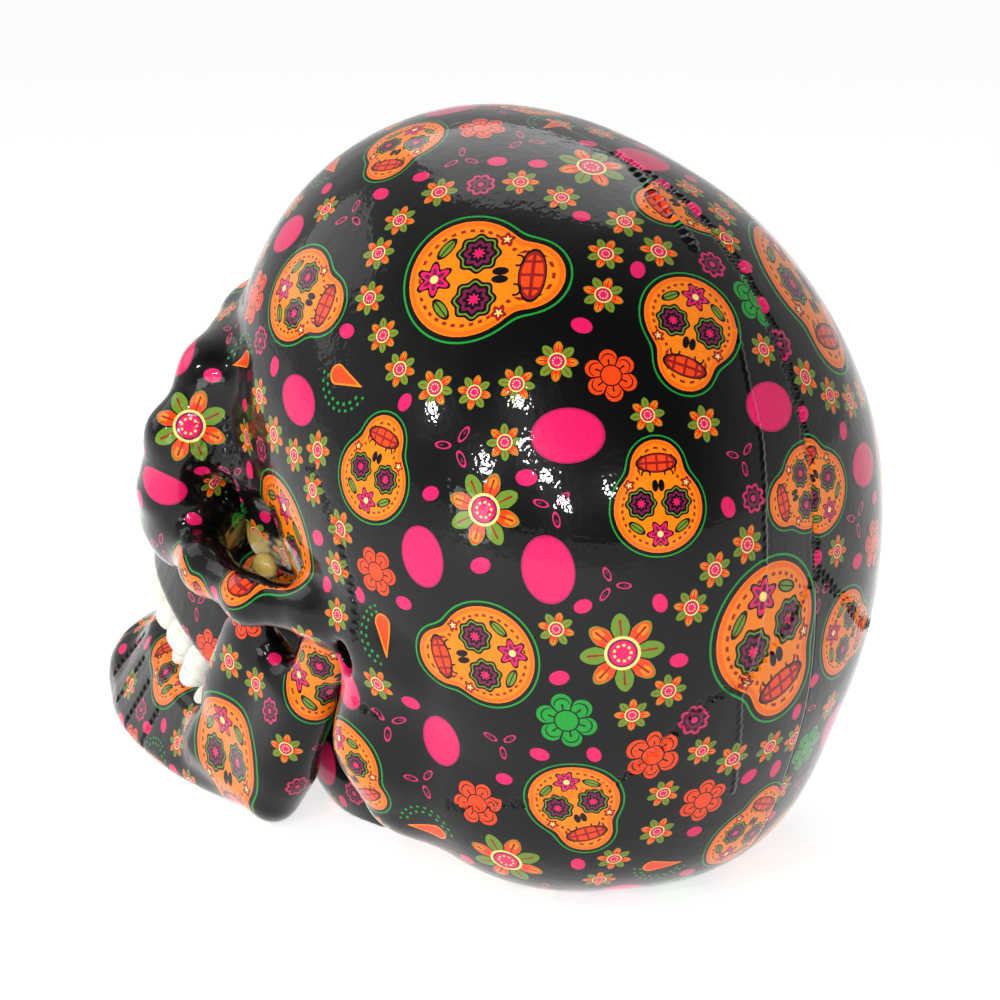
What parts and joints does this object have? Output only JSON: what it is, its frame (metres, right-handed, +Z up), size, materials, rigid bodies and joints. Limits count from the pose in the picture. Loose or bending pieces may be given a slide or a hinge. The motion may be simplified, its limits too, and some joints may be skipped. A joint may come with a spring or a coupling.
{
  "type": "sugar skull",
  "caption": "Life-size hollow skull ornament in glossy black with bright festival print, white teeth and a hinged jaw, lying tipped back.",
  "frame": {"origin": "on the table, under the middle of the part's box", "axes": "+Z up from the table, -Y the way the face looks, +X to the skull's left"},
  "size_m": [0.139, 0.2224, 0.1739],
  "materials": {
    "printed_shell": "bright print on black under clear gloss",
    "printed_jaw": "bright print on black under clear gloss",
    "tooth": "white, glossy",
    "pin": "plain drawn steel",
    "dowel": "bare moulded ivory"
  },
  "bodies": {
    "skull": {"skull_shell_left": "printed_shell", "skull_shell_right": "printed_shell", "seam_dowel_brow": "dowel", "seam_dowel_crown": "dowel", "seam_dowel_back": "dowel", "seam_dowel_nape": "dowel", "jaw_pin_left": "pin", "jaw_pin_right": "pin", "upper_tooth_left_1": "tooth", "upper_tooth_left_2": "tooth", "upper_tooth_left_3": "tooth", "upper_tooth_left_4": "tooth", "upper_tooth_left_5": "tooth", "upper_tooth_left_6": "tooth", "upper_tooth_left_7": "tooth", "upper_tooth_right_1": "tooth", "upper_tooth_right_2": "tooth", "upper_tooth_right_3": "tooth", "upper_tooth_right_4": "tooth", "upper_tooth_right_5": "tooth", "upper_tooth_right_6": "tooth", "upper_tooth_right_7": "tooth"},
    "jaw": {"jaw": "printed_jaw", "lower_tooth_left_1": "tooth", "lower_tooth_left_2": "tooth", "lower_tooth_left_3": "tooth", "lower_tooth_left_4": "tooth", "lower_tooth_left_5": "tooth", "lower_tooth_left_6": "tooth", "lower_tooth_left_7": "tooth", "lower_tooth_right_1": "tooth", "lower_tooth_right_2": "tooth", "lower_tooth_right_3": "tooth", "lower_tooth_right_4": "tooth", "lower_tooth_right_5": "tooth", "lower_tooth_right_6": "tooth", "lower_tooth_right_7": "tooth"}
  },
  "joints": [
    {"name": "jaw_hinge", "type": "hinge", "parent": "skull", "child": "jaw", "pos_m": [0, 0.01224, 0.05965], "axis": [1, 0, 0], "range_deg": [0, 14]}
  ]
}
